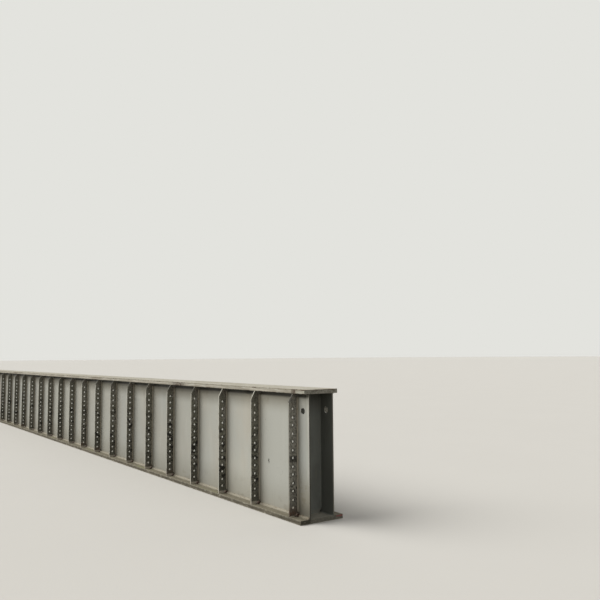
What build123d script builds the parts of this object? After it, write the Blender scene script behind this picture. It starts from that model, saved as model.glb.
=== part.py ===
"""Welded steel box plate girder with two webs and drilled stiffeners, in millimetres.

The girder stands upright on its bottom flange. Its origin is the middle of that flange's
underside, +X runs along the girder, -Y is its front and +Z is up. Front and back are alike,
so cross girders can be bolted to either side.
"""

from build123d import *
import math
import os

# Driving dimensions, in millimetres

# Stiffener stations, as many as fit along the girder
length = 24500.0
station_pitch = 670.0
least_end_panel = 150.0      # from the girder's end to its first station

# Plates of the box
web_depth = 1120.0           # clear height between the flanges
web_thickness = 12.0
box_width = 280.0            # over the outer faces of both webs
bottom_flange_width = 480.0
bottom_flange_thickness = 40.0
top_flange_width = 380.0
top_flange_thickness = 40.0

# Stiffeners
stiffener_width = 95.0       # how far a stiffener stands out from its web
stiffener_thickness = 14.0
clip_height = 80.0           # height of the clipped top outer corner
scallop_radius = 30.0        # quarter circles that clear the long welds

# Column of bolt holes in each stiffener
bolt_hole_radius = 12.0
bolt_hole_edge = 45.0        # from the stiffener's outer edge to the column
first_hole_drop = 140.0      # from the top flange to the first hole
long_step = 80.0             # the steps down the column take turns: long, short, long
short_step = 70.0
lowest_hole_rise = 60.0      # least height of the last hole over the bottom flange

# Lifting holes through both webs, halfway between each end and its first station
lifting_hole_radius = 30.0
lifting_hole_drop = 160.0    # from the top flange

# Diaphragms inside the box
diaphragm_thickness = 12.0
panels_per_diaphragm = 6
diaphragm_corner = 30.0      # corners cut off to clear the long welds

# Sizes that follow

panel_count = math.floor((length - 2 * least_end_panel) / station_pitch)
end_panel = (length - panel_count * station_pitch) / 2
flange_top_face = bottom_flange_thickness
flange_under_face = flange_top_face + web_depth
box_half = box_width / 2
top_overhang = (top_flange_width - box_width) / 2
inner_width = box_width - 2 * web_thickness
bolt_hole_gauge = stiffener_width - bolt_hole_edge
lifting_hole_place = length / 2 - end_panel / 2
step_pair = long_step + short_step
step_pairs = math.floor((web_depth - first_hole_drop - lowest_hole_rise) / step_pair)


def station_places():
    """X of each stiffener station, from the -X end to the +X end."""
    first = end_panel - length / 2
    return [first + number * station_pitch for number in range(panel_count + 1)]


def bolt_hole_heights():
    """Z of each bolt hole, from the highest down, by turns a long and a short step apart."""
    highest = flange_under_face - first_hole_drop
    heights = [highest]
    for pair in range(step_pairs):
        pair_top = highest - pair * step_pair
        heights.append(pair_top - long_step)
        heights.append(pair_top - step_pair)
    return heights


def flat_plate(width, thickness, underside):
    """A plate as long as the girder that lies level, centred across it."""
    plate = Box(length, width, thickness, align=(Align.CENTER, Align.CENTER, Align.MIN))
    return Pos(0, 0, underside) * plate


def web_plate(side):
    """One upright web between the flanges, with its two lifting holes.

    side is -1 for the front web and +1 for the back one.
    """
    middle = side * (box_half - web_thickness / 2)
    upright = Plane(origin=(0, middle, flange_top_face), x_dir=(1, 0, 0), z_dir=(0, -1, 0))
    hole_height = web_depth - lifting_hole_drop
    outline = Rectangle(length, web_depth, align=(Align.CENTER, Align.MIN))
    holes = Locations((-lifting_hole_place, hole_height), (lifting_hole_place, hole_height))
    outline -= holes * Circle(lifting_hole_radius)
    return extrude(upright * outline, amount=web_thickness / 2, both=True)


def stiffener_outline():
    """Outline of a stiffener, out from its web and up from the bottom flange.

    It is a rectangle with quarter circles cut from its two corners at the web and one column
    of bolt holes. Where it stands out past the top flange, its corner there is clipped, down
    from the flange's edge.
    """
    corners = [(0, web_depth), (0, 0), (stiffener_width, 0)]
    if stiffener_width > top_overhang:
        corners += [(stiffener_width, web_depth - clip_height), (top_overhang, web_depth)]
    else:
        corners += [(stiffener_width, web_depth)]
    bolt_holes = [(bolt_hole_gauge, height - flange_top_face) for height in bolt_hole_heights()]
    outline = make_face(Polyline(corners, close=True))
    outline -= Locations((0, 0), (0, web_depth)) * Circle(scallop_radius)
    return outline - Locations(*bolt_holes) * Circle(bolt_hole_radius)


def stiffener(side):
    """A drilled stiffener on the outer face of one web, halfway along the girder.

    side is -1 for the front web and +1 for the back one.
    """
    foot = (0, side * box_half, flange_top_face)
    upright = Plane(origin=foot, x_dir=(0, side, 0), z_dir=(side, 0, 0))
    return extrude(upright * stiffener_outline(), amount=stiffener_thickness / 2, both=True)


def diaphragm():
    """An upright plate that fills the box between webs and flanges, its corners cut off."""
    centre = (0, 0, flange_top_face + web_depth / 2)
    upright = Plane(origin=centre, x_dir=(0, 1, 0), z_dir=(1, 0, 0))
    outline = Rectangle(inner_width, web_depth)
    outline = chamfer(outline.vertices(), diaphragm_corner)
    return extrude(upright * outline, amount=diaphragm_thickness / 2, both=True)


def save(name, *solids):
    """Write the solids of one named piece to its own file."""
    piece = solids[0] if len(solids) == 1 else Compound(children=list(solids))
    piece.label = name
    export_step(piece, f"parts/{name}.step")


def main():
    os.makedirs("parts", exist_ok=True)

    save("bottom_flange", flat_plate(bottom_flange_width, bottom_flange_thickness, 0))
    save("top_flange", flat_plate(top_flange_width, top_flange_thickness, flange_under_face))
    save("front_web", web_plate(-1))
    save("back_web", web_plate(+1))

    front_stiffener = stiffener(-1)
    back_stiffener = stiffener(+1)
    inner_plate = diaphragm()
    diaphragm_number = 0
    for number, place in enumerate(station_places()):
        front = Pos(place, 0, 0) * front_stiffener
        back = Pos(place, 0, 0) * back_stiffener
        save(f"stiffener_pair_{number + 1:02d}", front, back)
        if number % panels_per_diaphragm == 0 or number == panel_count:
            diaphragm_number += 1
            save(f"diaphragm_{diaphragm_number:02d}", Pos(place, 0, 0) * inner_plate)


main()
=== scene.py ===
"""Looks of a welded steel box plate girder: weathered paint, weld beads, stage, light and camera.

Sizes are in metres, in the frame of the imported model: +X runs along the girder, -Y is its front
and +Z is up.
"""

import math
from types import SimpleNamespace

import bpy
import numpy as np
from mathutils import Matrix, Vector


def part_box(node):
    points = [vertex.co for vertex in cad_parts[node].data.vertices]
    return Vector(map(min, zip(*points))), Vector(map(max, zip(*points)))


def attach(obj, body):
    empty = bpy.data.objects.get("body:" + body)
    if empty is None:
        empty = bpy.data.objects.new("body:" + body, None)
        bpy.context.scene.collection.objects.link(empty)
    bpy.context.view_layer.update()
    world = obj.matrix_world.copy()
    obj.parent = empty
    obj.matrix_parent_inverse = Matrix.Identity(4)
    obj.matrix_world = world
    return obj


bl_info = {
    "name": "Steel box girder looks",
    "version": (1, 0, 0),
    "blender": (4, 5, 0),
    "location": "View3D > Sidebar > Girder",
    "description": "Weathered paint, weld beads, stage, light and camera for a steel box plate girder",
    "category": "Object",
}

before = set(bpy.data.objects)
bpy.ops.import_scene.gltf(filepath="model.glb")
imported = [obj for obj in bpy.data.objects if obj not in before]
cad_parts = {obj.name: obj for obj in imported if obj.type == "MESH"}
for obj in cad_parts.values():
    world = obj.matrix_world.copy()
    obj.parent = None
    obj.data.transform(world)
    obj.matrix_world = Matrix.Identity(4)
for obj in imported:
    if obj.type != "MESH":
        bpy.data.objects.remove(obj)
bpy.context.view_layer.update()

BODY = "root"
OUTER_SIDES = (("front", -1), ("back", 1))            # each with its way along Y
MILLIMETRE = 0.001
PAINT_IOR = 1.5
SHOWING_RAYS = ("Camera", "Glossy", "Transmission")   # rays that see the pale floor and backdrop

# Parts of a stiffener that have their own paint
CLIP = 0.080                 # height of the clipped corner
HIGHEST_HOLE = 1.020         # Z of the highest bolt hole
LONG_STEP = 0.080            # between the first hole and the second
HOLE_PAIR = 0.150            # a long and a short step
HOLE_ASIDE = 0.190           # from the girder's middle plane

# Depths under a face between which the paint of that face alone fades in
UNDER_FACE = 0.0015
AT_FACE = 0.0005

# Marks that the photograph shows, by their place on the girder
SCRATCH = (11.574, 0.481)    # X and Z on the front web
NOTCH = 12.072               # X of the rusty break in the top flange's front edge
NOTCH_HALF = 0.033           # half of its length
STAIN = 9.613                # X of a brown stain on the same edge
GREASE_MARK = 0.560          # Z of a black blot on the +X end's stiffeners
DAUB = (0.200, 0.030)        # Y and Z on the bottom flange's +X end

# Where the paint changes away from the ends, from none to all, as distances from the middle
# Away from the ends the webs get more painted shade under the top flange, and a little more dirt at
# the foot
DIRTIER_AND_SHADIER_WEBS = (11.45, 10.90)
# The webs turn duller away from the ends, partly weathering and partly painted shadow
DULLER_AND_SHADED_WEBS = (11.1, 9.7)
DARKER_CLIPS = (10.6, 10.2)

# Where the grease on the stiffeners sets in from above and from below, from none to all, as Z
GREASE_HEAD = (0.84, 0.66)
GREASE_FOOT = (0.10, 0.24)

# Real weld ripples are 1.5 mm apart. They are drawn wider, because finer ones don't show.
RIPPLE = 0.006

# Shape of a weld bead
DYING = 0.45                 # share of its leg that it loses where it dies out
LEAST_RINGS = 4              # least number of cross-sections
ARC_POINTS = 6               # points across its face
WAVES = (0.31, 0.113, 0.047)  # lengths of the waves in which its leg wanders

# Ways from the girder to the lamps
KEY_WAY = (-0.50, -0.54, 0.74)
BACK_WAY = (-0.45, 0.80, 0.50)
SIDE_WAY = (0.75, -0.15, 0.65)


def linear(hex_colour):
    """An sRGB colour written as #RRGGBB, as linear red, green and blue."""
    srgb = np.array([int(hex_colour[place:place + 2], 16) for place in (1, 3, 5)]) / 255
    low = srgb / 12.92
    high = ((srgb + 0.055) / 1.055) ** 2.4
    return tuple(float(part) for part in np.where(srgb <= 0.04045, low, high))


def measure():
    """The girder's sizes and places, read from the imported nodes' boxes."""
    bottom_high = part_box("bottom_flange")[1]
    top_low, top_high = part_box("top_flange")
    web_low, web_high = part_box("back_web")
    names = sorted(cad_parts)
    stations = [name for name in names if name.startswith("stiffener_pair_")]
    diaphragms = [name for name in names if name.startswith("diaphragm_")]
    places = [sum(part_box(name), Vector()).x / 2 for name in stations]
    first_low, first_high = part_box(stations[0])
    plate_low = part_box(diaphragms[0])[0]
    return SimpleNamespace(
        station_names=stations,
        diaphragm_names=diaphragms,
        station_places=places,
        first_station=places[0],
        last_station=places[-1],
        pitch=places[1] - places[0],
        stiffener_half=(first_high.x - first_low.x) / 2,
        stiffener_edge=first_high.y,
        end=web_high.x,
        web_face=web_high.y,
        web_inner_face=web_low.y,
        bottom_edge=bottom_high.y,
        bottom_top_face=bottom_high.z,
        top_edge=top_high.y,
        top_under_face=top_low.z,
        top_top_face=top_high.z,
        diaphragm_face=-plate_low.x,
    )


girder = measure()


def size(name, description, default, **limits):
    """A length property in metres."""
    return bpy.props.FloatProperty(
        name=name, description=description, default=default, min=0.0,
        subtype="DISTANCE", unit="LENGTH", precision=4, **limits
    )


def tint(name, description, hex_colour):
    """A colour property, written as its sRGB hex value."""
    return bpy.props.FloatVectorProperty(
        name=name, description=description, default=linear(hex_colour), size=3,
        min=0.0, max=1.0, subtype="COLOR"
    )


def turn(name, description, degrees):
    """An angle property, written in degrees."""
    return bpy.props.FloatProperty(
        name=name, description=description, default=math.radians(degrees),
        subtype="ANGLE", unit="ROTATION"
    )


class GirderPaint(bpy.types.PropertyGroup):
    """Colours of the paint, and of what the weather has done to it."""

    web: tint("Web paint", "Topcoat on the outer faces of the webs", "#B9B7AB")
    web_cool: tint("Web paint, cool", "Faint cool clouds in the webs' topcoat", "#AEB0AA")
    web_warm: tint("Web paint, warm", "Faint dusty clouds in the webs' topcoat", "#B5AE9F")
    # Partly weathered topcoat, partly painted shadow on the panels away from the ends
    web_dull_and_shaded: tint("Web paint, dull", "Weathered topcoat away from the girder's ends", "#8B8D89")
    web_pale: tint("Chalked paint", "Pale streaks where the topcoat has chalked", "#C5C3B8")
    # Partly the coat's own dark olive, partly painted shade for the stiffeners' shaded faces
    stiffener: tint("Stiffener paint", "Thin coat on the drilled stiffeners", "#727063")
    stiffener_pale: tint("Stiffener paint, pale", "Pale patches on the stiffeners", "#918E85")
    edge: tint("Plate edges", "Chalked paint on the plates' edges", "#C4BFAF")
    top_flange: tint("Top flange paint", "Topcoat on the top flange's edges", "#B9B3A5")
    bottom_flange: tint("Bottom flange paint", "Dirty topcoat on the bottom flange", "#6E6759")
    # Thin coat on the flame-cut ends, darkened partly as painted shade on those shaded faces; also
    # laid on the webs as the stiffeners' painted shadow
    cut_end_and_shade: tint("Cut ends", "Thin coat on the flame-cut ends", "#6B695F")
    touched_up: tint("Touched-up paint", "Fresher paint at the top flange's end", "#B9BBAD")
    # Primer colour, darkened partly as painted shade inside the box
    primer: tint("Primer", "Primer on faces inside the box", "#6A6C66")
    top_dust: tint("Top dust", "Pale dust on the top flange", "#9B9688")
    ledge_dust: tint("Ledge dust", "Damp dust on the bottom flange", "#706A5A")
    # Oily dirt, also painted as shade under the top flange, on its underside and inside the box
    grime_and_shade: tint("Grime", "Oily dirt round holes and under edges", "#34322A")
    grease: tint("Grease", "Black grease round bolt holes", "#1E1C16")
    end_dust: tint("Dusty end", "Dusty paint on the top flange's ends", "#949186")
    # Washed-down dirt, also painted as shade under the top flange and beside the stiffeners
    wash_and_shade: tint("Wash marks", "Dirt that rain has washed down", "#837D6D")
    rust: tint("Rust", "Rust at feet, chips and cut edges", "#59402C")
    # Dark, dense rust, also painted as shade in the stiffeners' scallops and corners
    old_rust_and_shade: tint("Old rust", "Dark, dense rust", "#3D2C20")
    moss: tint("Moss", "Green film on the damp ledge", "#7E7F5C")
    daub: tint("Daub", "Plain red daub on the bottom flange's end", "#93504E")


class GirderWelds(bpy.types.PropertyGroup):
    """Sizes of the weld beads."""

    foot_leg: size("Foot weld leg", "Leg of the outer welds between webs and bottom flange", 0.020)
    head_leg: size("Head weld leg", "Leg of the outer welds between webs and top flange", 0.010)
    stiffener_leg: size("Stiffener weld leg", "Leg of the welds round the stiffeners", 0.009)
    diaphragm_leg: size("Diaphragm weld leg", "Leg of the welds round the end diaphragms", 0.007)
    scallop: size("Scallop radius", "Radius of the stiffeners' scallops, which stay unwelded", 0.030)
    diaphragm_corner: size("Diaphragm corner", "Corners of the diaphragms, which stay unwelded", 0.030)
    step: size("Bead step", "Distance between two cross-sections of a bead", 0.020, soft_min=0.005)
    sink: size("Sink", "Depth that a bead goes into its plates", 0.0008)
    crown: bpy.props.FloatProperty(
        name="Crown", description="How far a bead bulges past a flat fillet, as a share of its leg",
        default=0.08, min=0.0, max=0.29, subtype="FACTOR"
    )
    wander: bpy.props.FloatProperty(
        name="Wander", description="How much a bead's leg changes along it, as a share of the leg",
        default=0.09, min=0.0, max=0.3, subtype="FACTOR"
    )
    seed: bpy.props.IntProperty(
        name="Seed", description="Start of the random numbers that shape the beads", default=7, min=0
    )


class GirderStage(bpy.types.PropertyGroup):
    """Floor, light and camera."""

    floor: tint("Floor", "Pale floor that the girder stands on", "#BCB9B2")
    backdrop: tint("Backdrop", "Pale colour behind the girder", "#E3E3DE")
    floor_width: size("Floor width", "Width and length of the floor", 900.0)
    floor_shade: tint("Floor bounce", "Colour that the floor throws back on the girder", "#7F7A6E")
    key_strength: bpy.props.FloatProperty(
        name="Key lamp", description="Strength of the lamp in front", default=3.9, min=0.0
    )
    back_strength: bpy.props.FloatProperty(
        name="Back lamp", description="Strength of the lamp behind", default=0.8, min=0.0
    )
    side_strength: bpy.props.FloatProperty(
        name="Side lamp", description="Strength of the lamp beside the +X end", default=1.0, min=0.0
    )
    key_softness: turn("Key softness", "Width of the key lamp in the sky", 52)
    fill_softness: turn("Fill softness", "Width of the other lamps in the sky", 80)
    surround: bpy.props.FloatProperty(
        name="Surround", description="Strength of the even light from all round", default=0.13, min=0.0
    )
    lens: bpy.props.FloatProperty(
        name="Lens", description="Focal length on a 36 mm sensor", default=40.357, min=1.0,
        unit="CAMERA"
    )
    camera_place: bpy.props.FloatVectorProperty(
        name="Camera place", description="Where the camera stands", default=(17.2470, -3.7989, 1.5050),
        size=3, subtype="TRANSLATION", unit="LENGTH"
    )
    heading: turn("Heading", "Turn of the view from -X towards +Y", 35.522)
    tilt: turn("Tilt", "Tilt of the view above level", 4.786)
    roll: turn("Roll", "Roll of the camera about its view", -0.399)


def add(tree, kind, inputs=(), **settings):
    """Add one shader node.

    settings are its properties, and inputs its sockets, each with a value or a link.
    """
    made = tree.nodes.new("ShaderNode" + kind)
    for name, value in settings.items():
        setattr(made, name, value)
    for socket, value in dict(inputs).items():
        if isinstance(value, bpy.types.NodeSocket):
            tree.links.new(value, made.inputs[socket])
        else:
            made.inputs[socket].default_value = value
    return made


def spot(tree):
    """Where a shaded point is on the girder, in metres, and which way it faces.

    rise is its height over the bottom flange and drop its depth under the top flange. aside and
    from_middle are its distances from the planes halfway across and halfway along the girder,
    and from_station is its distance along the girder from the nearest stiffener's middle.
    """
    coordinates = add(tree, "TexCoord").outputs
    place = add(tree, "SeparateXYZ", {0: coordinates["Object"]}).outputs
    facing = add(tree, "SeparateXYZ", {0: coordinates["Normal"]}).outputs
    rise = add(tree, "Math", {0: place["Z"], 1: girder.bottom_top_face}, operation="SUBTRACT")
    drop = add(tree, "Math", {0: girder.top_under_face, 1: place["Z"]}, operation="SUBTRACT")
    return SimpleNamespace(
        point=coordinates["Object"],
        x=place["X"],
        y=place["Y"],
        z=place["Z"],
        rise=rise.outputs[0],
        drop=drop.outputs[0],
        aside=away(tree, place["Y"], 0.0),
        from_middle=away(tree, place["X"], 0.0),
        from_station=away(tree, place["X"], girder.first_station, girder.pitch),
        endways=ramp(tree, away(tree, facing["X"], 0.0), 0.5, 0.8),
        to_front=ramp(tree, facing["Y"], -0.5, -0.8),
        up=ramp(tree, facing["Z"], 0.4, 0.8),
        down=ramp(tree, facing["Z"], -0.4, -0.8),
    )


def ramp(tree, field, low, high):
    """0 where a field is at low, 1 where it is at high and smooth between. high may be under low."""
    made = add(tree, "MapRange", {0: field, 1: low, 2: high}, interpolation_type="SMOOTHSTEP")
    return made.outputs[0]


def patches(tree, here, width, low, high, x=1.0, y=1.0, z=1.0, detail=4.0, shift=0.0):
    """Cloudy patches about width metres across, from 0 where the noise is under low to 1 over high.

    x, y and z are how many times longer the patches are along each axis.
    """
    mapped = add(tree, "Mapping", {
        "Vector": here.point,
        "Location": (shift, shift, shift),
        "Scale": [1 / (width * longer) for longer in (x, y, z)],
    })
    noise = add(tree, "TexNoise", {
        "Vector": mapped.outputs[0], "Scale": 1.0, "Detail": detail, "Roughness": 0.6,
    })
    return ramp(tree, noise.outputs["Fac"], low, high)


def fine_grain(tree, here, width, x=1.0, shift=2.0):
    """Even grain for a relief, about width metres across and x times longer along the girder."""
    return patches(tree, here, width, 0.2, 0.8, x=x, detail=3.0, shift=shift)


def away(tree, field, at, every=None):
    """How far a field is from a value, or from the nearest of values that stand every so far apart."""
    offset = add(tree, "Math", {0: field, 1: at}, operation="SUBTRACT").outputs[0]
    if every is None:
        return add(tree, "Math", {0: offset}, operation="ABSOLUTE").outputs[0]
    return add(tree, "Math", {0: offset, 1: every / 2}, operation="PINGPONG").outputs[0]


def past_every(tree, field, at, every):
    """How far a field is past the last of values that stand every so far apart."""
    offset = add(tree, "Math", {0: field, 1: at}, operation="SUBTRACT").outputs[0]
    return add(tree, "Math", {0: offset, 1: every, 2: 0.0}, operation="WRAP").outputs[0]


def near(tree, field, at, full, reach):
    """1 where a field is within full of a value, and 0 once it is reach away from it."""
    return ramp(tree, away(tree, field, at), reach, full)


def all_of(tree, *fields):
    """The product of several fields or numbers: cover only where all of them cover."""
    product = fields[0]
    for field in fields[1:]:
        product = add(tree, "Math", {0: product, 1: field}, operation="MULTIPLY").outputs[0]
    return product


def any_of(tree, *fields):
    """The largest of several fields: cover where one of them covers."""
    largest = fields[0]
    for field in fields[1:]:
        largest = add(tree, "Math", {0: largest, 1: field}, operation="MAXIMUM").outputs[0]
    return largest


def none_of(tree, field):
    """1 where a field is 0, and 0 where it is 1."""
    return add(tree, "Math", {0: 1.0, 1: field}, operation="SUBTRACT").outputs[0]


def lay_coats(tree, ground, coats):
    """The colour after each coat is laid over the last.

    A coat is its colour, the share of what lies under it that it hides, and the fields where it
    covers.
    """
    under = (*ground, 1.0)
    for colour, share, *fields in coats:
        over = (*colour, 1.0)
        cover = all_of(tree, *fields, share)
        # Sockets 6 and 7 take the two colours, and socket 2 gives their mix
        under = add(tree, "Mix", {0: cover, 6: under, 7: over}, data_type="RGBA").outputs[2]
    return under


def new_finish(name, shine):
    """A new material, its node tree and its shader, which has a share of paint's shine."""
    material = bpy.data.materials.new(name)
    material.use_nodes = True
    tree = material.node_tree
    tree.nodes.clear()
    shader = add(tree, "BsdfPrincipled", {"IOR": PAINT_IOR, "Specular IOR Level": shine})
    add(tree, "OutputMaterial", {0: shader.outputs[0]})
    return material, tree, shader


def finish_surface(tree, shader, colour, wear, relief, depth):
    """Set a shader's colour and roughness, and a relief of the given depth in millimetres.

    wear is a field, the roughness where it is 0 and the roughness where it is 1.
    """
    worn, smooth, rough = wear
    roughness = add(tree, "MapRange", {0: worn, 3: smooth, 4: rough})
    bump = add(tree, "Bump", {"Height": relief, "Distance": depth * MILLIMETRE})
    tree.links.new(colour, shader.inputs["Base Color"])
    tree.links.new(roughness.outputs[0], shader.inputs["Roughness"])
    tree.links.new(bump.outputs[0], shader.inputs["Normal"])


def web_topcoat(name, paint):
    """Alkyd topcoat, rolled on and chalked by the sun: matt, faintly clouded and dirty at its foot."""
    material, tree, shader = new_finish(name, shine=0.2)
    here = spot(tree)
    foot = ramp(tree, here.rise, 0.35, 0.0)
    low_foot = ramp(tree, here.rise, 0.06, 0.0)
    # The head and seam bands, and the darker band away from the ends, are painted shade under the top
    # flange's overhang, partly washed dirt and grease
    head = ramp(tree, here.drop, 0.22, 0.04)
    seam_dirt_and_shade = ramp(tree, here.drop, 0.050, 0.024)
    inside = ramp(tree, here.aside, girder.web_inner_face + 0.001, girder.web_inner_face + 0.0005)
    outside = none_of(tree, inside)
    front = ramp(tree, here.y, 0.0, -0.01)
    under_head_shade = ramp(tree, here.drop, 0.10, 0.05)
    head_shade = any_of(tree, all_of(tree, head, 0.16), all_of(tree, under_head_shade, 0.36))
    end_strip = ramp(tree, here.from_middle, girder.last_station - 0.01, girder.last_station + 0.05)
    between = none_of(tree, end_strip)
    # corner marks the web beside each stiffener: painted shade with some dirt, and at the feet rust
    # and painted shade in the scallops
    corner = ramp(tree, here.from_station, 0.052, 0.028)
    corner_foot = ramp(tree, here.rise, 0.050, 0.015)
    # beside is painted shade on both sides of each stiffener, partly dirt; the stiffener shadow is the
    # painted shadow that each stiffener casts on the web on its +X side
    beside = ramp(tree, here.from_station, 0.11, 0.02)
    past = past_every(tree, here.x, girder.first_station, girder.pitch)
    stiffener_shadow = all_of(tree, ramp(tree, past, 0.24, 0.03), between)
    end_foot = all_of(tree, end_strip, ramp(tree, here.z, 0.60, 0.20))
    end_corner = all_of(tree, end_strip, ramp(tree, here.z, 0.24, 0.07))
    at_rim = ramp(tree, here.from_middle, girder.end - 0.055, girder.end - 0.010)
    by_end = all_of(tree, at_rim, outside, none_of(tree, end_foot))
    dull = ramp(tree, here.from_middle, *DULLER_AND_SHADED_WEBS)
    # Away from the ends: more painted shade under the top flange, and more dirt at the foot
    dirty = ramp(tree, here.from_middle, *DIRTIER_AND_SHADIER_WEBS)
    cool = patches(tree, here, 0.9, 0.42, 0.62, z=1.6, detail=2.0)
    warm = patches(tree, here, 0.55, 0.45, 0.66, z=1.8, shift=3.0)
    thin_streaks = patches(tree, here, 0.03, 0.50, 0.75, z=26.0, detail=3.0, shift=7.0)
    broad_streaks = patches(tree, here, 0.14, 0.48, 0.72, z=6.0, detail=3.0, shift=11.0)
    short_streaks = patches(tree, here, 0.014, 0.46, 0.60, z=9.0, detail=3.0, shift=29.0)
    dirt = patches(tree, here, 0.09, 0.38, 0.64, x=1.6, shift=13.0)
    speckle = patches(tree, here, 0.016, 0.69, 0.73, detail=2.0, shift=5.0)
    scatter = patches(tree, here, 0.40, 0.56, 0.64, shift=9.0)
    rust_runs = patches(tree, here, 0.022, 0.66, 0.74, z=14.0, detail=2.0, shift=17.0)
    scratch = all_of(
        tree, here.to_front, patches(tree, here, 0.012, 0.40, 0.50, shift=1.0),
        near(tree, here.x, SCRATCH[0], 0.006, 0.018), near(tree, here.z, SCRATCH[1], 0.010, 0.030),
    )
    colour = lay_coats(tree, paint.web, [
        (paint.web_cool, 0.5, cool),
        (paint.web_warm, 0.5, warm),
        # Duller tone away from the ends: partly weathering, partly painted shadow
        (paint.web_dull_and_shaded, 0.36, dull),
        (paint.web_pale, 0.22, broad_streaks),
        (paint.web_cool, 0.7, end_strip),
        (paint.wash_and_shade, 0.3, end_strip, thin_streaks),
        # Painted shade beside each stiffener, partly dirt, then the stiffeners' painted shadow on
        # their +X side
        (paint.wash_and_shade, 0.15, beside, between),
        (paint.cut_end_and_shade, 0.32, stiffener_shadow, any_of(tree, dull, foot)),
        (paint.wash_and_shade, 0.6, foot, any_of(tree, dirt, 0.7)),
        (paint.wash_and_shade, 0.5, low_foot, any_of(tree, dirt, 0.3)),
        (paint.wash_and_shade, 0.9, end_foot, any_of(tree, dirt, 0.75)),
        (paint.grime_and_shade, 0.5, end_corner),
        # Painted shade under the top flange, partly washed dirt and grease, darker away from the ends
        (paint.wash_and_shade, 0.78, head, any_of(tree, dirt, 0.8), between),
        (paint.wash_and_shade, 0.4, head, end_strip),
        (paint.grime_and_shade, 0.3, head, dull),
        (paint.grime_and_shade, 1.0, dirty, head_shade),
        (paint.grime_and_shade, 0.07, dirty, foot),
        (paint.grease, 0.97, seam_dirt_and_shade, any_of(tree, dirt, 0.9)),
        # Painted shade in the corners beside the stiffeners, with some dirt, then rust and painted
        # shade at their scallops
        (paint.wash_and_shade, 0.3, corner, any_of(tree, dirt, 0.4)),
        (paint.old_rust_and_shade, 0.75, corner, corner_foot),
        (paint.rust, 0.12, rust_runs, any_of(tree, foot, head)),
        (paint.web_pale, 0.8, by_end, any_of(tree, short_streaks, 0.3)),
        (paint.old_rust_and_shade, 0.6, speckle, scatter),
        (paint.grime_and_shade, 0.9, scratch),
        # Primer inside the box, darkened partly as painted shade
        (paint.primer, 1.0, inside),
        (paint.grime_and_shade, 0.25, inside, cool),
        # The webs' end faces: thin coat darkened partly as painted shade, darker still on the front
        # web
        (paint.cut_end_and_shade, 1.0, here.endways, outside),
        (paint.grime_and_shade, 0.9, here.endways, outside, front),
    ])
    grain = fine_grain(tree, here, 0.006)
    finish_surface(tree, shader, colour, (warm, 0.5, 0.68), grain, depth=0.25)
    return material


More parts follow.
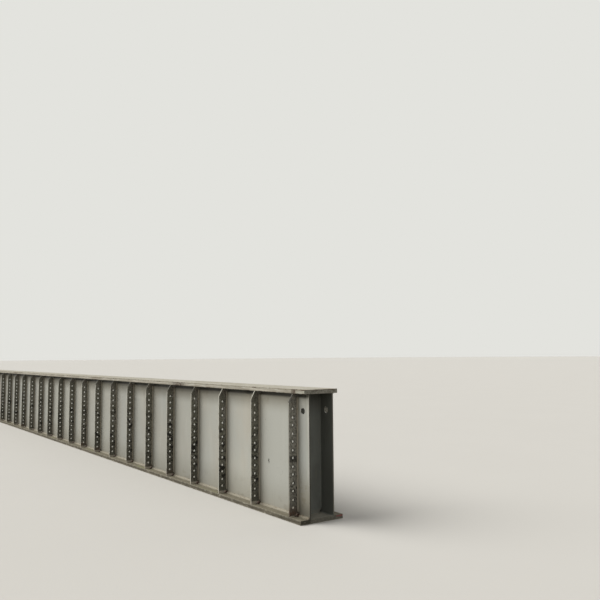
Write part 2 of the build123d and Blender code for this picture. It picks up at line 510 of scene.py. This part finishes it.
def stiffener_coat(name, paint):
    """Thin shop coat over mill scale: dark, partly as painted shade, greasy round the holes and rusty
    at the foot.
    """
    material, tree, shader = new_finish(name, shine=0.3)
    here = spot(tree)
    narrow = none_of(tree, here.endways)
    outermost = ramp(tree, here.aside, girder.stiffener_edge - 0.004, girder.stiffener_edge - 0.002)
    clipped = ramp(tree, here.drop, CLIP + 0.004, CLIP)
    edge = all_of(tree, narrow, any_of(tree, outermost, clipped))
    clip = all_of(tree, edge, clipped)
    bore = all_of(tree, narrow, none_of(tree, edge))
    from_high = away(tree, here.z, HIGHEST_HOLE, HOLE_PAIR)
    from_low = away(tree, here.z, HIGHEST_HOLE - LONG_STEP, HOLE_PAIR)
    level = add(tree, "Math", {0: from_high, 1: from_low}, operation="MINIMUM").outputs[0]
    offset = add(tree, "CombineXYZ", {0: away(tree, here.aside, HOLE_ASIDE), 1: level})
    from_hole = add(tree, "VectorMath", {0: offset.outputs[0]}, operation="LENGTH").outputs["Value"]
    rim = ramp(tree, from_hole, 0.030, 0.016)
    by_web = ramp(tree, here.aside, girder.web_face + 0.022, girder.web_face + 0.004)
    foot = ramp(tree, here.rise, 0.12, 0.01)
    lower = ramp(tree, here.z, 0.36, 0.10)
    head = ramp(tree, here.drop, 0.16, 0.02)
    greasy = all_of(tree, ramp(tree, here.z, *GREASE_HEAD), ramp(tree, here.z, *GREASE_FOOT))
    mottle = patches(tree, here, 0.014, 0.44, 0.60, x=3.0, z=1.3)
    pale = patches(tree, here, 0.07, 0.48, 0.64, x=4.0, z=2.0, shift=4.0)
    grease = patches(tree, here, 0.060, 0.55, 0.60, x=5.0, y=1.3, shift=8.0)
    smears = patches(tree, here, 0.25, 0.44, 0.56, detail=2.0, shift=16.0)
    chips = patches(tree, here, 0.02, 0.54, 0.62, z=3.0, detail=3.0, shift=12.0)
    rusty_station = patches(tree, here, 0.8, 0.50, 0.60, y=4.0, z=4.0, detail=0.0, shift=15.0)
    near_end = ramp(tree, here.x, girder.last_station - 0.5, girder.last_station - 0.1)
    further = none_of(tree, near_end)
    dark_clips = ramp(tree, here.from_middle, *DARKER_CLIPS)
    overspray = all_of(tree, ramp(tree, here.rise, 0.032, 0.022), further, none_of(tree, by_web))
    below_mark = ramp(tree, here.z, GREASE_MARK + 0.02, GREASE_MARK - 0.05)
    at_mark = near(tree, here.z, GREASE_MARK, 0.020, 0.040)
    rust_blots = patches(tree, here, 0.03, 0.40, 0.58, x=2.0, shift=19.0)
    rusty_foot = all_of(tree, foot, any_of(tree, rusty_station, near_end))
    # The base colour is darkened partly as painted shade on the stiffeners' faces
    colour = lay_coats(tree, paint.stiffener, [
        (paint.stiffener_pale, 0.7, any_of(tree, pale, near_end)),
        (paint.grime_and_shade, 0.6, mottle),
        (paint.grime_and_shade, 0.45, lower),
        (paint.grime_and_shade, 0.25, head),
        (paint.rust, 0.25, head, pale),
        (paint.grime_and_shade, 0.4, by_web),
        (paint.grime_and_shade, 0.5, rim, any_of(tree, greasy, 0.3)),
        (paint.grease, 1.0, grease, greasy, further),
        (paint.grease, 1.0, near_end, at_mark, any_of(tree, mottle, 0.75)),
        (paint.grease, 0.8, smears, mottle, greasy, any_of(tree, further, below_mark)),
        (paint.grease, 1.0, bore),
        (paint.web, 1.0, edge),
        (paint.wash_and_shade, 0.45, clip),
        (paint.grime_and_shade, 0.92, clip, dark_clips),
        (paint.grime_and_shade, 0.45, edge, near_end),
        (paint.grease, 0.9, clip, near_end),
        (paint.wash_and_shade, 0.8, edge, chips),
        (paint.rust, 0.8, edge, chips, foot),
        (paint.rust, 0.8, rusty_foot, any_of(tree, rust_blots, 0.4)),
        (paint.old_rust_and_shade, 0.5, foot, near_end),
        (paint.web_warm, 0.75, overspray),
    ])
    grain = fine_grain(tree, here, 0.008)
    finish_surface(tree, shader, colour, (grease, 0.7, 0.45), grain, depth=0.6)
    return material


def top_flange_coat(name, paint):
    """Dusty alkyd paint on thick rolled plate: pale on top, scuffed edges and dark cut ends."""
    material, tree, shader = new_finish(name, shine=0.05)
    here = spot(tree)
    rims = any_of(
        tree, near(tree, here.z, girder.top_top_face, 0.004, 0.013),
        near(tree, here.z, girder.top_under_face, 0.002, 0.007),
    )
    fascia = ramp(tree, here.aside, girder.top_edge - UNDER_FACE, girder.top_edge - AT_FACE)
    front = all_of(tree, fascia, here.to_front)
    rim_line = ramp(tree, here.aside, girder.top_edge - 0.014, girder.top_edge - 0.002)
    end_rim = ramp(tree, here.z, girder.top_top_face - 0.012, girder.top_top_face - 0.003)
    under_rim = ramp(tree, here.z, girder.top_under_face + 0.009, girder.top_under_face + 0.002)
    lengthwise = patches(tree, here, 0.018, 0.45, 0.68, x=16.0)
    bands = patches(tree, here, 0.012, 0.44, 0.56, x=22.0, shift=25.0)
    scuffs = patches(tree, here, 0.028, 0.55, 0.61, x=5.0, z=0.8, shift=6.0)
    clouds = patches(tree, here, 0.30, 0.42, 0.62, x=2.5, shift=10.0)
    chips = patches(tree, here, 0.022, 0.55, 0.60, x=3.0, shift=14.0)
    stains = patches(tree, here, 0.10, 0.56, 0.68, x=7.0, shift=21.0)
    blots = patches(tree, here, 0.015, 0.42, 0.60, shift=23.0)
    smears = patches(tree, here, 0.05, 0.46, 0.58, y=1.5, z=0.6, shift=31.0)
    flecks = patches(tree, here, 0.02, 0.56, 0.62, shift=33.0)
    past_notch = ramp(tree, here.x, NOTCH + NOTCH_HALF, NOTCH + NOTCH_HALF + 0.01)
    notch = near(tree, here.x, NOTCH, 0.7 * NOTCH_HALF, 1.3 * NOTCH_HALF)
    stain = near(tree, here.x, STAIN, 0.08, 0.24)
    colour = lay_coats(tree, paint.top_flange, [
        (paint.edge, 0.35, lengthwise),
        (paint.wash_and_shade, 0.35, clouds),
        (paint.touched_up, 1.0, front, past_notch, any_of(tree, blots, 0.3)),
        (paint.web_pale, 0.75, fascia, scuffs),
        (paint.wash_and_shade, 0.45, fascia, bands),
        (paint.wash_and_shade, 0.8, fascia, rims, any_of(tree, blots, 0.5)),
        (paint.grime_and_shade, 0.7, fascia, under_rim, any_of(tree, blots, 0.5)),
        (paint.old_rust_and_shade, 0.85, fascia, rims, chips),
        (paint.top_dust, 0.9, here.up),
        (paint.wash_and_shade, 0.55, here.up, lengthwise, any_of(tree, clouds, 0.4)),
        (paint.wash_and_shade, 0.5, here.up, rim_line),
        (paint.old_rust_and_shade, 0.6, here.up, rim_line, chips),
        (paint.rust, 0.22, any_of(tree, here.up, fascia), stains),
        (paint.old_rust_and_shade, 0.85, front, stain, any_of(tree, blots, 0.5)),
        (paint.old_rust_and_shade, 0.9, front, notch, any_of(tree, blots, 0.6)),
        (paint.end_dust, 1.0, here.endways),
        (paint.grime_and_shade, 0.35, here.endways, blots),
        (paint.grime_and_shade, 0.3, here.endways, smears),
        (paint.end_dust, 0.8, here.endways, flecks),
        (paint.rust, 0.7, here.endways, end_rim, any_of(tree, smears, 0.5)),
        # Painted shade on the top flange's downward faces
        (paint.grime_and_shade, 0.7, here.down, any_of(tree, clouds, 0.5)),
    ])
    grain = fine_grain(tree, here, 0.008, x=4.0)
    relief = add(tree, "Math", {0: grain, 1: chips}, operation="SUBTRACT").outputs[0]
    finish_surface(tree, shader, colour, (clouds, 0.62, 0.85), relief, depth=0.8)
    return material


def bottom_flange_coat(name, paint):
    """Alkyd paint on thick rolled plate: mud-splashed edges under a ledge of damp dust."""
    material, tree, shader = new_finish(name, shine=0.1)
    here = spot(tree)
    fascia = ramp(tree, here.aside, girder.bottom_edge - UNDER_FACE, girder.bottom_edge - AT_FACE)
    by_web = near(tree, here.aside, girder.web_face, 0.012, 0.045)
    pocket = ramp(tree, here.aside, girder.web_inner_face + 0.001, girder.web_inner_face)
    outside = none_of(tree, pocket)
    brim = ramp(tree, here.aside, girder.bottom_edge - 0.018, girder.bottom_edge - 0.003)
    low_rim = ramp(tree, here.z, 0.014, 0.002)
    near_end = ramp(tree, here.from_middle, girder.end - 0.7, girder.end - 0.1)
    corner = all_of(tree, ramp(tree, here.from_station, 0.050, 0.030), by_web)
    at_end = ramp(tree, here.from_middle, girder.end - 0.45, girder.end - 0.10)
    lengthwise = patches(tree, here, 0.016, 0.45, 0.68, x=14.0)
    bands = patches(tree, here, 0.012, 0.42, 0.56, x=22.0, shift=25.0)
    rims = any_of(
        tree, near(tree, here.rise, 0.0, 0.004, 0.009), near(tree, here.z, 0.0, 0.004, 0.010)
    )
    scuffs = patches(tree, here, 0.030, 0.56, 0.61, x=3.0, z=0.7, shift=6.0)
    clouds = patches(tree, here, 0.22, 0.42, 0.62, x=2.5, shift=10.0)
    mud = patches(tree, here, 0.035, 0.46, 0.60, x=1.6, shift=14.0)
    blots = patches(tree, here, 0.015, 0.42, 0.60, shift=23.0)
    moss = patches(tree, here, 0.30, 0.52, 0.66, x=3.0, shift=27.0)
    front_part = ramp(tree, here.y, -0.11, -0.14)
    dirty_end = all_of(tree, here.endways, any_of(tree, front_part, all_of(tree, blots, 0.35)))
    daub = all_of(
        tree, near(tree, here.y, DAUB[0], 0.030, 0.042), near(tree, here.z, DAUB[1], 0.004, 0.010),
        ramp(tree, here.x, girder.end - UNDER_FACE, girder.end - AT_FACE), any_of(tree, blots, 0.55),
    )
    colour = lay_coats(tree, paint.bottom_flange, [
        (paint.ledge_dust, 0.35, lengthwise),
        (paint.wash_and_shade, 0.3, clouds),
        (paint.edge, 0.4, fascia, scuffs),
        (paint.grime_and_shade, 0.45, fascia, bands),
        (paint.grime_and_shade, 0.3, fascia, mud),
        (paint.edge, 0.45, fascia, rims, any_of(tree, blots, 0.3)),
        (paint.grime_and_shade, 0.2, fascia, near_end),
        (paint.ledge_dust, 0.9, here.up),
        (paint.top_dust, 0.4, here.up, by_web, any_of(tree, clouds, 0.4)),
        (paint.wash_and_shade, 0.6, here.up, brim),
        (paint.moss, 0.5, here.up, moss),
        (paint.grime_and_shade, 0.2, here.up, mud),
        # Rust and painted shade on the ledge at the stiffeners' scallops
        (paint.old_rust_and_shade, 0.6, here.up, corner, outside),
        (paint.grime_and_shade, 0.14, here.up, at_end, outside),
        # Primer in the box's pocket, darkened partly as painted shade
        (paint.primer, 0.6, here.up, pocket),
        (paint.top_dust, 0.85, here.up, pocket, any_of(tree, clouds, 0.5)),
        # The bottom flange's end faces: thin coat darkened partly as painted shade
        (paint.cut_end_and_shade, 1.0, here.endways),
        (paint.grime_and_shade, 0.8, dirty_end),
        (paint.wash_and_shade, 0.5, here.endways, scuffs),
        (paint.wash_and_shade, 0.4, here.endways, low_rim),
        (paint.daub, 1.0, daub),
        (paint.old_rust_and_shade, 0.7, here.down),
    ])
    grain = fine_grain(tree, here, 0.008, x=4.0)
    relief = add(tree, "Math", {0: grain, 1: mud}, operation="ADD").outputs[0]
    finish_surface(tree, shader, colour, (clouds, 0.7, 0.92), relief, depth=0.9)
    return material


def inner_primer(name, paint):
    """Dull oxide primer, brushed on once and never topcoated: flat, dark and slightly dusty. Its
    darkness is partly painted shade, and under the top flange it darkens further as painted shade.
    """
    material, tree, shader = new_finish(name, shine=0.25)
    here = spot(tree)
    clouds = patches(tree, here, 0.2, 0.42, 0.64, z=2.0)
    runs = patches(tree, here, 0.03, 0.55, 0.72, z=10.0, detail=3.0, shift=6.0)
    head = ramp(tree, here.drop, 0.25, 0.0)
    foot = ramp(tree, here.rise, 0.05, 0.01)
    colour = lay_coats(tree, paint.primer, [
        (paint.grime_and_shade, 0.2, clouds),
        (paint.wash_and_shade, 0.25, runs),
        (paint.wash_and_shade, 0.3, foot),
        # Painted shade under the top flange inside the box
        (paint.grime_and_shade, 0.5, head),
    ])
    grain = fine_grain(tree, here, 0.006)
    finish_surface(tree, shader, colour, (clouds, 0.7, 0.85), grain, depth=0.4)
    return material


def ripple_relief(tree, here):
    """The height of a weld bead's ripples: a sine of the distance along it, put off by patches."""
    run = add(tree, "Attribute", attribute_name="run")
    phase = all_of(tree, run.outputs["Fac"], math.tau / RIPPLE)
    put_off = all_of(tree, patches(tree, here, 0.012, 0.2, 0.8, detail=2.0), math.tau)
    uneven = add(tree, "Math", {0: phase, 1: put_off}, operation="ADD")
    return add(tree, "Math", {0: uneven.outputs[0]}, operation="SINE").outputs[0]


def painted_bead(name, paint):
    """Arc-weld metal under the topcoat: its ripples catch the light; painted shade darkens it under
    the top flange, and rust with painted shade at the scallops.
    """
    material, tree, shader = new_finish(name, shine=0.1)
    here = spot(tree)
    head = ramp(tree, here.drop, 0.04, 0.01)
    foot = ramp(tree, here.rise, 0.045, 0.030)
    low = ramp(tree, here.rise, 0.04, 0.02)
    corner = all_of(
        tree, ramp(tree, here.from_station, 0.048, 0.032), foot,
        ramp(tree, here.aside, girder.web_face + 0.040, girder.web_face + 0.030),
    )
    near_end = ramp(tree, here.x, girder.last_station, girder.last_station + 0.05)
    spots = patches(tree, here, 0.02, 0.56, 0.66, x=2.0, z=2.0, detail=3.0)
    colour = lay_coats(tree, paint.web_warm, [
        (paint.wash_and_shade, 1.0, any_of(tree, all_of(tree, low, 0.8), 0.45)),
        (paint.ledge_dust, 0.6, low, near_end),
        (paint.rust, 0.35, spots),
        # Painted shade on the bead under the top flange
        (paint.grease, 0.9, head),
        # Rust and painted shade where the bead passes the stiffeners' scallops
        (paint.old_rust_and_shade, 0.97, corner),
    ])
    finish_surface(tree, shader, colour, (spots, 0.6, 0.8), ripple_relief(tree, here), depth=0.15)
    return material


def primed_bead(name, paint):
    """Arc-weld metal under the primer inside the box: rippled, dull and spotted with dust."""
    material, tree, shader = new_finish(name, shine=0.25)
    here = spot(tree)
    spots = patches(tree, here, 0.03, 0.50, 0.66)
    # Primer darkened partly as painted shade inside the box
    colour = lay_coats(tree, paint.primer, [(paint.wash_and_shade, 0.3, spots)])
    finish_surface(tree, shader, colour, (spots, 0.65, 0.8), ripple_relief(tree, here), depth=0.15)
    return material


FINISHES = {
    "weathered_alkyd_topcoat": web_topcoat,
    "thin_shop_coat_on_mill_scale": stiffener_coat,
    "dusty_alkyd_on_rolled_plate": top_flange_coat,
    "mud_splashed_alkyd_on_rolled_plate": bottom_flange_coat,
    "dull_oxide_primer": inner_primer,
    "painted_weld_metal": painted_bead,
    "primed_weld_metal": primed_bead,
}


def bead(run, leg, dies_out, welds, draws):
    """One straight fillet bead as vertices, faces and each vertex's distance along the run.

    run is the corner's start and end, and the two ways from the corner along its plates. The
    cross-section is a chord between the toes, at the distance leg over the sum of the angle's
    cosine and sine, plus a crown times the sine of twice the angle. It is closed through the
    corner and carried along the run. The leg wanders by three sines of random phase and, where the
    bead dies out, shrinks towards both ends.
    """
    start, end, first_way, second_way = (np.array(part, float) for part in run)
    length = np.linalg.norm(end - start)
    way = (end - start) / length
    rings = max(LEAST_RINGS, int(length / welds.step) + 1)
    distance = np.linspace(0, length, rings)
    phases = draws.uniform(0, math.tau, len(WAVES))
    swing = np.sin(distance[:, None] / np.array(WAVES) * math.tau + phases).mean(1)
    from_end = np.minimum(distance, length - distance)
    shrink = DYING * np.exp(-from_end / leg) * dies_out
    legs = (leg + welds.sink) * (1 + welds.wander * swing) * (1 - shrink)
    angle = np.linspace(0, math.pi / 2, ARC_POINTS)
    reach = 1 / (np.cos(angle) + np.sin(angle)) + welds.crown * np.sin(2 * angle)
    outline = np.cos(angle)[:, None] * first_way + np.sin(angle)[:, None] * second_way
    outline = np.vstack([outline * reach[:, None], np.zeros(3)])
    corner = start - welds.sink * (first_way + second_way)
    points = corner + distance[:, None, None] * way + legs[:, None, None] * outline
    around = len(outline)
    ring, place = np.meshgrid(np.arange(rings - 1), np.arange(around), indexing="ij")
    beside = (place + 1) % around
    quads = np.stack([
        ring * around + place,
        ring * around + beside,
        (ring + 1) * around + beside,
        (ring + 1) * around + place,
    ], -1)
    near_cap = np.arange(around)[::-1]
    far_cap = (rings - 1) * around + np.arange(around)
    faces = [*quads.reshape(-1, 4).tolist(), near_cap.tolist(), far_cap.tolist()]
    if np.dot(np.cross(first_way, second_way), way) < 0:
        faces = [face[::-1] for face in faces]
    return points.reshape(-1, 3), faces, np.repeat(distance, around)


def bead_piece(name, runs, leg, material, dies_out=True):
    """One piece of the weld beads along several runs."""
    welds = bpy.context.scene.girder_welds
    draws = np.random.default_rng(welds.seed)
    corners, faces, distances = [], [], []
    count = 0
    for run in runs:
        points, sides, distance = bead(run, leg, dies_out, welds, draws)
        corners.append(points)
        faces += [[count + corner for corner in side] for side in sides]
        distances.append(distance)
        count += len(points)
    mesh = bpy.data.meshes.new(name)
    mesh.from_pydata(np.concatenate(corners), [], faces)
    mesh.polygons.foreach_set("use_smooth", np.ones(len(mesh.polygons), bool))
    run = mesh.attributes.new("run", "FLOAT", "POINT")
    run.data.foreach_set("value", np.concatenate(distances).astype(np.float32))
    mesh.materials.append(material)
    mesh.update()
    piece = bpy.data.objects.new(name, mesh)
    bpy.context.scene.collection.objects.link(piece)
    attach(piece, BODY)
    return piece


def shared_material(name):
    """The material of that name, made once."""
    made = bpy.data.materials.get(name)
    if made is None:
        made = FINISHES[name](name, bpy.context.scene.girder_paint)
    return made


def paint_nodes(names, material):
    """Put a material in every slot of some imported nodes."""
    for name in names:
        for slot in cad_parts[name].material_slots:
            slot.material = material


class GIRDER_OT_paint_webs(bpy.types.Operator):
    """Paint both webs"""

    bl_idname = "girder.paint_webs"
    bl_label = "Paint webs"

    def execute(self, context):
        paint_nodes(["front_web", "back_web"], shared_material("weathered_alkyd_topcoat"))
        return {"FINISHED"}


class GIRDER_OT_paint_stiffeners(bpy.types.Operator):
    """Paint all pairs of stiffeners"""

    bl_idname = "girder.paint_stiffeners"
    bl_label = "Paint stiffeners"

    def execute(self, context):
        paint_nodes(girder.station_names, shared_material("thin_shop_coat_on_mill_scale"))
        return {"FINISHED"}


class GIRDER_OT_paint_flanges(bpy.types.Operator):
    """Paint both flanges"""

    bl_idname = "girder.paint_flanges"
    bl_label = "Paint flanges"

    def execute(self, context):
        paint_nodes(["top_flange"], shared_material("dusty_alkyd_on_rolled_plate"))
        paint_nodes(["bottom_flange"], shared_material("mud_splashed_alkyd_on_rolled_plate"))
        return {"FINISHED"}


class GIRDER_OT_paint_diaphragms(bpy.types.Operator):
    """Paint the diaphragms inside the box"""

    bl_idname = "girder.paint_diaphragms"
    bl_label = "Paint diaphragms"

    def execute(self, context):
        paint_nodes(girder.diaphragm_names, shared_material("dull_oxide_primer"))
        return {"FINISHED"}


class GIRDER_OT_weld_flanges(bpy.types.Operator):
    """Make the long weld beads between webs and flanges"""

    bl_idname = "girder.weld_flanges"
    bl_label = "Weld flanges"

    def execute(self, context):
        welds = context.scene.girder_welds
        material = shared_material("painted_weld_metal")
        reach = girder.end - welds.sink
        corners = (
            ("bottom", girder.bottom_top_face, (0, 0, 1), welds.foot_leg),
            ("top", girder.top_under_face, (0, 0, -1), welds.head_leg),
        )
        for outer_side, side in OUTER_SIDES:
            outer = side * girder.web_face
            for level, height, upright, leg in corners:
                run = ((-reach, outer, height), (reach, outer, height), (0, side, 0), upright)
                name = f"{outer_side}_{level}_weld"
                bead_piece(name, [run], leg, material, dies_out=False)
        return {"FINISHED"}


class GIRDER_OT_weld_stiffeners(bpy.types.Operator):
    """Make the weld beads round the stiffeners"""

    bl_idname = "girder.weld_stiffeners"
    bl_label = "Weld stiffeners"

    def execute(self, context):
        welds = context.scene.girder_welds
        material = shared_material("painted_weld_metal")
        low, high = girder.bottom_top_face, girder.top_under_face
        foot, head = low + welds.scallop, high - welds.scallop
        for outer_side, side in OUTER_SIDES:
            outward = (0, side, 0)
            outer = side * girder.web_face
            clear = side * (girder.web_face + welds.scallop)
            edge = side * girder.stiffener_edge
            tip = side * girder.top_edge
            runs = []
            for place in girder.station_places:
                for facing in (-1, 1):
                    x = place + facing * girder.stiffener_half
                    along = (facing, 0, 0)
                    runs += [
                        ((x, outer, foot), (x, outer, head), outward, along),
                        ((x, clear, low), (x, edge, low), (0, 0, 1), along),
                        ((x, clear, high), (x, tip, high), (0, 0, -1), along),
                    ]
            name = f"{outer_side}_stiffener_welds"
            bead_piece(name, runs, welds.stiffener_leg, material)
        return {"FINISHED"}


class GIRDER_OT_weld_pockets(bpy.types.Operator):
    """Make the weld beads inside both open ends, round the end diaphragms and along the corners"""

    bl_idname = "girder.weld_pockets"
    bl_label = "Weld pockets"

    def execute(self, context):
        welds = context.scene.girder_welds
        material = shared_material("primed_weld_metal")
        corner = welds.diaphragm_corner
        low, high = girder.bottom_top_face, girder.top_under_face
        foot, head = low + corner, high - corner
        clear = girder.web_inner_face - corner
        levels = ((low, (0, 0, 1)), (high, (0, 0, -1)))
        sides = [(side * girder.web_inner_face, (0, -side, 0)) for side in (-1, 1)]
        for end, facing in (("minus", -1), ("plus", 1)):
            along = (facing, 0, 0)
            x = facing * girder.diaphragm_face
            tip = facing * (girder.end - welds.sink)
            level_runs = [
                ((x, -clear, height), (x, clear, height), upright, along)
                for height, upright in levels
            ]
            upright_runs = [((x, y, foot), (x, y, head), inward, along) for y, inward in sides]
            long_runs = [
                ((x, y, height), (tip, y, height), inward, upright)
                for y, inward in sides for height, upright in levels
            ]
            runs = level_runs + upright_runs + long_runs
            bead_piece(f"{end}_pocket_welds", runs, welds.diaphragm_leg, material)
        return {"FINISHED"}


class GIRDER_OT_build_stage(bpy.types.Operator):
    """Make the floor, the light and the camera"""

    bl_idname = "girder.build_stage"
    bl_label = "Build stage"

    def execute(self, context):
        stage = context.scene.girder_stage
        lay_floor(stage)
        hang_lamp("key_lamp", stage.key_strength, stage.key_softness, KEY_WAY)
        hang_lamp("back_lamp", stage.back_strength, stage.fill_softness, BACK_WAY)
        hang_lamp("side_lamp", stage.side_strength, stage.fill_softness, SIDE_WAY)
        light_surround(stage)
        set_camera(stage)
        return {"FINISHED"}


def showing(tree):
    """1 for rays that see the pale floor and backdrop, and 0 for those that light the girder."""
    ray = add(tree, "LightPath")
    return any_of(tree, *(ray.outputs[f"Is {kind} Ray"] for kind in SHOWING_RAYS))


def lay_floor(stage):
    """A level square at the girder's foot: a grid of two by two points."""
    half = stage.floor_width / 2
    x, y = np.meshgrid((-half, half), (-half, half))
    points = np.stack([x, y, np.zeros_like(x)], -1).reshape(-1, 3)
    mesh = bpy.data.meshes.new("floor")
    mesh.from_pydata(points, [], [(0, 1, 3, 2)])
    material, tree, shader = new_finish("floated_concrete", shine=0.05)
    here = spot(tree)
    clouds = patches(tree, here, 1.6, 0.35, 0.65)
    colour = lay_coats(tree, stage.floor_shade, [(stage.floor, 1.0, showing(tree))])
    grain = fine_grain(tree, here, 0.02, shift=0.0)
    finish_surface(tree, shader, colour, (clouds, 0.8, 0.9), grain, depth=0.5)
    mesh.materials.append(material)
    floor = bpy.data.objects.new("floor", mesh)
    bpy.context.scene.collection.objects.link(floor)


def hang_lamp(name, strength, softness, way):
    """A wide, far lamp, in the given way from the girder."""
    lamp = bpy.data.lights.new(name, "SUN")
    lamp.energy = strength
    lamp.angle = softness
    holder = bpy.data.objects.new(name, lamp)
    holder.rotation_mode = "QUATERNION"
    holder.rotation_quaternion = Vector(way).to_track_quat("Z", "Y")
    bpy.context.scene.collection.objects.link(holder)


def light_surround(stage):
    """Even light from all round, behind which the camera sees the pale backdrop."""
    world = bpy.data.worlds.new("surround")
    world.use_nodes = True
    tree = world.node_tree
    tree.nodes.clear()
    light = add(tree, "Background", {"Color": (1, 1, 1, 1), "Strength": stage.surround})
    backdrop = add(tree, "Background", {"Color": (*stage.backdrop, 1), "Strength": 1.0})
    mixed = add(tree, "MixShader", {0: showing(tree), 1: light.outputs[0], 2: backdrop.outputs[0]})
    add(tree, "OutputWorld", {0: mixed.outputs[0]})
    bpy.context.scene.world = world


def set_camera(stage):
    """The camera at the photograph's place, turned by its heading, tilt and roll."""
    level, rise = math.cos(stage.tilt), math.sin(stage.tilt)
    forward = Vector((-math.cos(stage.heading) * level, math.sin(stage.heading) * level, rise))
    right = forward.cross(Vector((0, 0, 1))).normalized()
    up = right.cross(forward)
    right, up = (
        right * math.cos(stage.roll) + up * math.sin(stage.roll),
        up * math.cos(stage.roll) - right * math.sin(stage.roll),
    )
    data = bpy.data.cameras.new("camera")
    data.lens = stage.lens
    data.clip_end = stage.floor_width
    camera = bpy.data.objects.new("camera", data)
    turned = Matrix((right, up, -forward)).transposed()
    camera.matrix_world = Matrix.Translation(stage.camera_place) @ turned.to_4x4()
    bpy.context.scene.collection.objects.link(camera)
    bpy.context.scene.camera = camera


STEPS = (
    GIRDER_OT_paint_webs,
    GIRDER_OT_paint_stiffeners,
    GIRDER_OT_paint_flanges,
    GIRDER_OT_paint_diaphragms,
    GIRDER_OT_weld_flanges,
    GIRDER_OT_weld_stiffeners,
    GIRDER_OT_weld_pockets,
    GIRDER_OT_build_stage,
)


class GIRDER_PT_steps(bpy.types.Panel):
    """The girder's steps, in the sidebar of the 3D view"""

    bl_label = "Girder"
    bl_idname = "GIRDER_PT_steps"
    bl_space_type = "VIEW_3D"
    bl_region_type = "UI"
    bl_category = "Girder"

    def draw(self, context):
        for step in STEPS:
            self.layout.operator(step.bl_idname)


CLASSES = (GirderPaint, GirderWelds, GirderStage, *STEPS, GIRDER_PT_steps)


def register():
    for made in CLASSES:
        bpy.utils.register_class(made)
    bpy.types.Scene.girder_paint = bpy.props.PointerProperty(type=GirderPaint)
    bpy.types.Scene.girder_welds = bpy.props.PointerProperty(type=GirderWelds)
    bpy.types.Scene.girder_stage = bpy.props.PointerProperty(type=GirderStage)


def unregister():
    del bpy.types.Scene.girder_stage
    del bpy.types.Scene.girder_welds
    del bpy.types.Scene.girder_paint
    for made in reversed(CLASSES):
        bpy.utils.unregister_class(made)


def main():
    register()
    bpy.context.scene.view_settings.view_transform = "Standard"
    bpy.ops.girder.paint_webs()
    bpy.ops.girder.paint_stiffeners()
    bpy.ops.girder.paint_flanges()
    bpy.ops.girder.paint_diaphragms()
    bpy.ops.girder.weld_flanges()
    bpy.ops.girder.weld_stiffeners()
    bpy.ops.girder.weld_pockets()
    bpy.ops.girder.build_stage()


if __name__ == "__main__":
    main()
